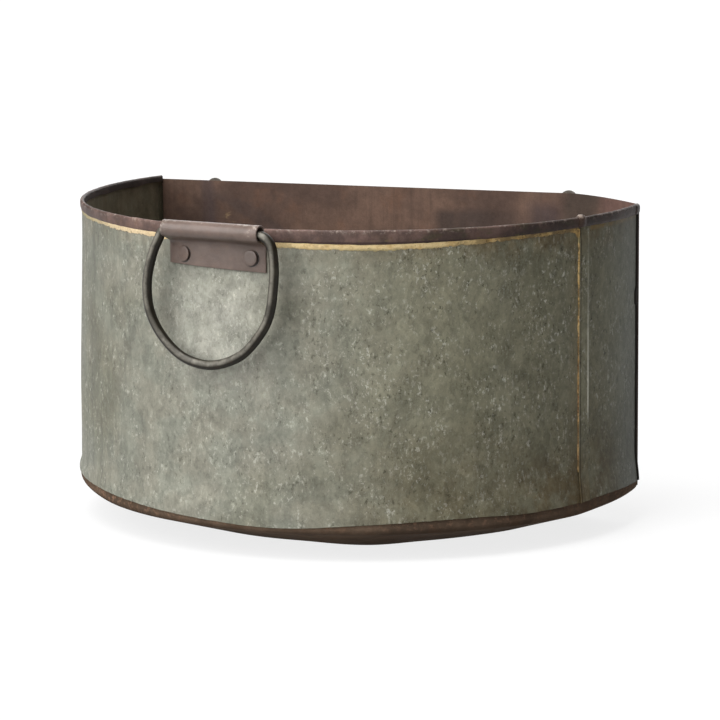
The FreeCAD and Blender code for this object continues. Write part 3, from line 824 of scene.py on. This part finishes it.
def buildGold(made):
    angles = spread(gold["from"], gold["to"], gold["columns"])

    def row(a, depth):
        top, foot = rimLow(a) + gold["lap"], goldFoot(a)
        return [onWall(a, mixed(top, foot, s), 0.00005 + depth * k) for s, k in gold["section"]]

    sheetFaces(made, [row(a, gold["thick"]) for a in angles], [row(a, 0) for a in angles])


def buildBead(made):
    right = seam["start"] - 0.05
    over, under = [], []
    for z in spread(gold["beadTo"], gold["beadFrom"], gold["beadRows"]):
        ends = ease(z, gold["beadTo"], gold["beadTo"] + 0.004)
        ragged = 1 + 0.5 * waver(z * 90, 41) + 0.5 * waver(z * 310, 42)
        wide = gold["beadWide"] * ragged * mixed(0.4, 1, ends)
        full = mixed(0.55, 1, ends) * (1 + 0.12 * waver(z * 240, 43))
        places = [(right - wide * (1 - t), lift * full) for t, lift in gold["beadSection"]]
        over.append([onWall(a, z, 0.0001 + lift) for a, lift in places])
        under.append([onWall(a, z, 0.00004) for a, lift in places])
    sheetFaces(made, over, under)


newPiece("goldLine", buildGold, "tub", [], [goldMaterial])
newPiece("seamBead", buildBead, "tub", [], [goldMaterial], sharp=60)

# Base pan: pressed dish with a round shoulder; its flange stands inside the wall's flare. shoulder is
# heights and belly is widths in mm by angle
pan = {
    "flange": 0.241, "sheet": 0.0012, "top": 0.0415, "foot": 0.162, "round": 0.006, "back": 0.05,
    "footRise": 0.0006, "upright": 4, "frontColumns": 190, "rearColumns": 122,
    "shoulder": [(-102, 29), (-60, 30.5), (-45, 28.3), (-30, 25), (0, 24), (60, 23.6), (76, 23.6),
                 (84, 25.4), (102, 27.5)],
    "belly": [(0, -1), (12, 0), (30, 10), (45, 2), (62, 1), (80, 5), (100, 2)],
}


def panProfile(degrees):
    # (radius, height) of the underside from the middle to the flange's top
    p = pan
    depth = through(p["shoulder"], degrees) * mm
    foot = p["foot"] + through(p["belly"], degrees) * mm
    flange = p["flange"] + outOfRound(degrees, depth)
    slope = math.atan2(depth, flange - foot)
    start = slope - math.pi / 2
    bendR = flange - p["round"]
    bendZ = depth - p["round"] * math.tan(start / 2)

    def bend(t):
        a = start * (1 - t)
        return bendR + p["round"] * math.cos(a), bendZ + p["round"] * math.sin(a)

    line = [(r, 0.0) for r in spread(0.0, foot - 0.01, 8)]
    line.append((foot, p["footRise"]))
    first = bend(0)
    line += [(mixed(foot, first[0], t), mixed(p["footRise"], first[1], t)) for t in spread(0.12, 0.96, 8)]
    line += [bend(t) for t in spread(0, 1, 7)]
    line += [(flange, z) for z in spread(bendZ + 0.002, p["top"], p["upright"])]
    return line


def cutProfile(line, cut):
    # the same profile stopped at the back plane: along it to the cut, then straight up
    bent = line[:-pan["upright"]]

    def heightAt(radius):
        k = max(i for i in range(len(bent) - 1) if bent[i][0] <= radius)
        (r0, z0), (r1, z1) = bent[k], bent[k + 1]
        return mixed(z0, z1, min(1.0, (radius - r0) / max(1e-9, r1 - r0)))

    rising = [(cut * r / bent[-1][0], heightAt(cut * r / bent[-1][0])) for r, z in bent]
    return rising + [(cut, z) for z in spread(rising[-1][1], pan["top"], pan["upright"] + 1)[1:]]


def buildPan(made):
    sheet = pan["sheet"]
    corner = math.degrees(math.acos(-pan["back"] / pan["flange"]))
    front = spread(-corner, corner, pan["frontColumns"])
    rear = spread(corner, 360 - corner, pan["rearColumns"])[1:-1]
    outside, inside = [], []
    for turn in front + rear:
        a = (turn + 180) % 360 - 180
        line = panProfile(a)
        if turn > corner:
            line = cutProfile(line, min(pan["back"] / -math.cos(math.radians(a)), pan["flange"]))
        last = len(line) - pan["upright"] - 1
        under, over = [], []
        for k, (r, z) in enumerate(line):
            upright = ease(z, 0.001, 0.03)
            if turn > corner and k >= last:
                upright = 1.0
            level = 1.0 if turn > corner and k == last else 1 - upright
            under.append(polar(r, a, z))
            over.append(polar(max(0.0, r - sheet * upright), a, z + sheet * level))
        outside.append(under)
        inside.append(over)
    sheetFaces(made, outside, inside, closed=True)
    bmesh.ops.remove_doubles(made, verts=made.verts, dist=1e-6)


newPiece("basePan", buildPan, "tub", ["base_pan"], [baseBrown])

# Handle: a round bar bent by hand, so its left leg leans; (x, z) of its middle line in mm
bar = {
    "radius": 0.004, "y": -0.249, "pin": 0.2664, "sides": 20, "steps": 8,
    "line": [(0, 266.4), (30, 266.4), (46, 266.0), (54.5, 259.5), (57.2, 246), (57, 229), (52.8, 203),
             (42, 184), (24, 167), (-2, 158.4), (-28, 163), (-48, 179), (-59.5, 199), (-61.8, 222),
             (-56.8, 244), (-50, 259), (-45, 265.6), (-30, 266.4)],
}


def handlePath():
    # smooth closed curve through the points of the middle line
    points = [Vector((x, 0, z)) * mm for x, z in bar["line"]]
    count, path = len(points), []
    for k in range(count):
        a, b, c, d = [points[(k + n) % count] for n in (-1, 0, 1, 2)]
        square = 2 * a - 5 * b + 4 * c - d
        cube = 3 * b - a - 3 * c + d
        for step in range(bar["steps"]):
            t = step / bar["steps"]
            bent = 2 * b + (c - a) * t + square * t * t + cube * t ** 3
            path.append(bent / 2 + Vector((0, bar["y"], 0)))
    return path


def buildHandle(made):
    path = handlePath()
    count, rings = len(path), []
    for k, p in enumerate(path):
        along = (path[(k + 1) % count] - path[k - 1]).normalized()
        side = Vector((0, 1, 0))
        across = along.cross(side)
        free = ease(bar["pin"] - p.z, 0.004, 0.02)
        radius = bar["radius"] * (1 - 0.03 * free * (0.5 + 0.5 * waver(p.x * 60 + p.z * 45, 31)))
        rings.append(ringAt(made, p, side, across, radius, bar["sides"]))
    joinRings(made, rings + rings[:1])


newPiece("handleBar", buildHandle, "handle", ["handle"], [barIron])

# Clip: one strap up the wall, out over the rim and rolled round the handle
clip = {
    "sheet": 0.0016, "half": 0.045, "seat": 0.24015, "lowLeft": 0.238, "lowRight": 0.2348,
    "lean": 0.0018, "leanHeight": (0.252, 0.262), "columns": 37,
    "rollY": -0.249, "rollZ": 0.2675, "roll": 0.0062, "bend": 0.006, "entry": 70, "turn": 270,
}


def clipLine(x):
    # middle line of the strap's section at x: up the plate, round the bend, up to the roll and round it
    c = clip
    b = math.radians(c["entry"])
    plateY = -math.sqrt(c["seat"] ** 2 - x * x) - c["sheet"] / 2
    enter = (c["rollY"] - c["roll"] * math.cos(b), c["rollZ"] - c["roll"] * math.sin(b))
    run = (plateY - c["bend"] * (1 - math.cos(b)) - enter[0]) / math.sin(b)
    bendZ = enter[1] - run * math.cos(b) - c["bend"] * math.sin(b)
    low = mixed(c["lowLeft"], c["lowRight"], (x + c["half"]) / (2 * c["half"])) + 0.0002 * waver(x * 160, 51)
    line = [(plateY, z) for z in spread(low, bendZ, 7)]
    for a in spread(0, b, 9)[1:]:
        line.append((plateY - c["bend"] * (1 - math.cos(a)), bendZ + c["bend"] * math.sin(a)))
    last = line[-1]
    line.append((mixed(last[0], enter[0], 0.5), mixed(last[1], enter[1], 0.5)))
    for a in spread(180 + c["entry"], 180 + c["entry"] - c["turn"], 34):
        r = math.radians(a)
        line.append((c["rollY"] + c["roll"] * math.cos(r), c["rollZ"] + c["roll"] * math.sin(r)))
    return line


def buildClip(made):
    outside, inside = [], []
    for x in spread(-clip["half"], clip["half"], clip["columns"]):
        line = clipLine(x)
        front, rear = [], []
        for k, (y, z) in enumerate(line):
            before, after = line[max(k - 1, 0)], line[min(k + 1, len(line) - 1)]
            along = Vector((0, after[0] - before[0], after[1] - before[1])).normalized()
            out = Vector((0, -along.z, along.y)) * clip["sheet"] / 2
            place = Vector((x - clip["lean"] * (1 - ease(z, *clip["leanHeight"])), y, z))
            front.append(place + out)
            rear.append(place - out)
        outside.append(front)
        inside.append(rear)
    sheetFaces(made, outside, inside)


newPiece("handleClip", buildClip, "tub", ["handle_clip"], [clipBrown], bevel=0.0003)


def buildRivets(made):
    for angle in rivet["angles"]:
        line = [(r * mm, h * mm) for r, h in rivet["line"]]
        out = polar(1, angle - rivet["tilt"], rivet["lift"]).normalized()
        turnedFaces(made, line, polar(rivet["seat"], angle, rivet["z"]), out, rivet["sides"])


newPiece("clipRivets", buildRivets, "tub", ["clip_rivets"], [clipBrown])

# Back panel: a flat plate with its ends folded round the wall's edges; fold and tab in mm
back = {
    "half": 0.2359, "y": 0.05, "sheet": 0.001, "low": 0.03, "dent": 0.00012, "columns": 90, "rows": 26,
    "leftTop": 0.266, "peakTop": 0.275, "rightTop": 0.269, "peakX": 0.1749, "endBow": 0.001,
    "fold": 4.4, "tab": 3.2, "tabLow": 0.1865, "tabHigh": 0.1985, "foldRows": 110, "gap": 0.00012,
    "innerLow": 0.049, "innerHigh": 0.2592,
}


def backTop(x):
    b = back
    if x < b["peakX"]:
        return mixed(b["leftTop"], b["peakTop"], (x + b["half"]) / (b["peakX"] + b["half"]))
    t = (x - b["peakX"]) / (b["half"] - b["peakX"])
    return mixed(b["peakTop"], b["rightTop"], t) + b["endBow"] * 4 * t * (1 - t)


def buildPlate(made):
    near, far = [], []
    for x in spread(-back["half"], back["half"], back["columns"]):
        column = [Vector((x, back["y"] + back["dent"] * (1 + waver(x * 14 + z * 9, 61)), z))
                  for z in spread(back["low"], backTop(x), back["rows"])]
        near.append(column)
        far.append([Vector((p.x, back["y"] + back["sheet"], p.z)) for p in column])
    sheetFaces(made, near, far)


def buildFold(made, side, outer):
    # one leg of the folded end, thinned to its front edge; the outer leg has a small tab
    b, corner = back, wall["corner"]
    low, high = b["innerLow"], b["innerHigh"]
    if outer:
        low, high = footEdge(side * corner) + 0.0006, rimLow(side * 100) - 0.0004
    over, under = [], []
    for z in spread(low, high, b["foldRows"]):
        deep = b["fold"] + 0.5 * waver(z * 60, 63 + side) + 0.3 * waver(z * 210, 66 + side)
        if outer:
            tab = ease(z, b["tabLow"] - 0.001, b["tabLow"]) - ease(z, b["tabHigh"], b["tabHigh"] + 0.001)
            deep += b["tab"] * tab
        start = corner - math.degrees(deep * mm / wall["radius"])
        rowOver, rowUnder = [], []
        for t in (0.0, 0.06, 0.16, 0.3, 0.5, 0.75, 1.0):
            thick = b["sheet"] * mixed(0.2, 1.0, ease(t, 0, 0.4))
            a = side * mixed(start, corner + 0.05, t)
            lift = b["gap"] + thick if outer else -wall["sheet"] - b["gap"]
            rowOver.append(onWall(a, z, lift))
            rowUnder.append(onWall(a, z, 0.00008 if outer else lift - 0.8 * thick))
        over.append(rowOver)
        under.append(rowUnder)
    index = 1 if outer else 2
    sheetFaces(made, over, under, index, index)


def buildBack(made):
    buildPlate(made)
    for side in (-1, 1):
        for outer in (True, False):
            buildFold(made, side, outer)


newPiece("backPanel", buildBack, "tub", ["back_panel"], [backBrown, shadedFoldBrown, zincCornerShade])

# CAD nodes that keep their shape take a finish
kept = ["hanger_left", "hanger_right", "hanger_rivets"]
for name in kept:
    mesh = nodes[name].data
    mesh.materials.clear()
    mesh.materials.append(tabZinc)
print("kept nodes finished:", ", ".join(kept))

# Camera at the photograph's angle
view = {"focalPixels": 3992.1, "imagePixels": 720, "pan": 29.265, "pitch": 9.268, "roll": -0.305,
        "place": (1.6529, -2.9571, 0.6796), "sensor": 36, "near": 0.05, "far": 100}


def makeCamera():
    pan, pitch, roll = [math.radians(view[k]) for k in ("pan", "pitch", "roll")]
    ahead = Vector((-math.sin(pan) * math.cos(pitch), math.cos(pan) * math.cos(pitch), -math.sin(pitch)))
    level = Vector((math.cos(pan), math.sin(pan), 0))
    upright = level.cross(ahead)
    right = level * math.cos(roll) + upright * math.sin(roll)
    up = upright * math.cos(roll) - level * math.sin(roll)
    data = bpy.data.cameras.new("photoCamera")
    data.sensor_width = view["sensor"]
    data.lens = view["focalPixels"] * data.sensor_width / view["imagePixels"]
    data.clip_start, data.clip_end = view["near"], view["far"]
    camera = bpy.data.objects.new("photoCamera", data)
    turn = Matrix((right, up, -ahead)).transposed().to_4x4()
    camera.matrix_world = Matrix.Translation(Vector(view["place"])) @ turn
    bpy.context.scene.collection.objects.link(camera)
    bpy.context.scene.camera = camera


makeCamera()

# Soft studio light: a broad key from the left front, weaker ones overhead and behind, a dim room
lights = {
    "rear": {"turn": -171, "height": 35, "spread": 70, "strength": 1.5},
    "key": {"turn": -28, "height": 30, "spread": 64, "strength": 3.15},
    "top": {"turn": -6, "height": 70, "spread": 30, "strength": 2.0},
}
room = {"world": 0.125, "floorColour": 0.18, "floorGlow": 0.8, "floorSize": 60}


def makeLight(name, look):
    data = bpy.data.lights.new(name, "SUN")
    data.angle = math.radians(look["spread"])
    data.energy = look["strength"]
    lamp = bpy.data.objects.new(name, data)
    e = math.radians(look["height"])
    out = polar(math.cos(e), look["turn"], math.sin(e))
    lamp.rotation_mode = "QUATERNION"
    lamp.rotation_quaternion = (-out).to_track_quat("-Z", "Y")
    bpy.context.scene.collection.objects.link(lamp)


for lightName, lightLook in lights.items():
    makeLight(lightName, lightLook)


def makeRoom():
    world = bpy.data.worlds.new("room")
    world.use_nodes = True
    bpy.context.scene.world = world
    grey = room["world"]
    world.node_tree.nodes["Background"].inputs["Color"].default_value = (grey, grey, grey, 1)
    half = room["floorSize"] / 2
    mesh = bpy.data.meshes.new("floor")
    corners = [(-half, -half, 0), (half, -half, 0), (half, half, 0), (-half, half, 0)]
    mesh.from_pydata(corners, [], [(0, 1, 2, 3)])
    floor = bpy.data.objects.new("floor", mesh)
    bpy.context.scene.collection.objects.link(floor)
    p = Paint("paleFloor", 0.0)
    p.feed("Roughness", 1.0)
    c = room["floorColour"]
    p.feed("Base Color", (c, c, c, 1))
    rays = ("Is Camera Ray", "Is Glossy Ray", "Is Transmission Ray")
    seen = sum(p.node("LightPath", out=ray) for ray in rays)
    p.feed("Emission Color", p.grey(seen * room["floorGlow"]))
    p.feed("Emission Strength", 1.0)
    mesh.materials.append(p.material)


makeRoom()
bpy.context.scene.view_settings.view_transform = "Standard"
print("camera, light and floor made")
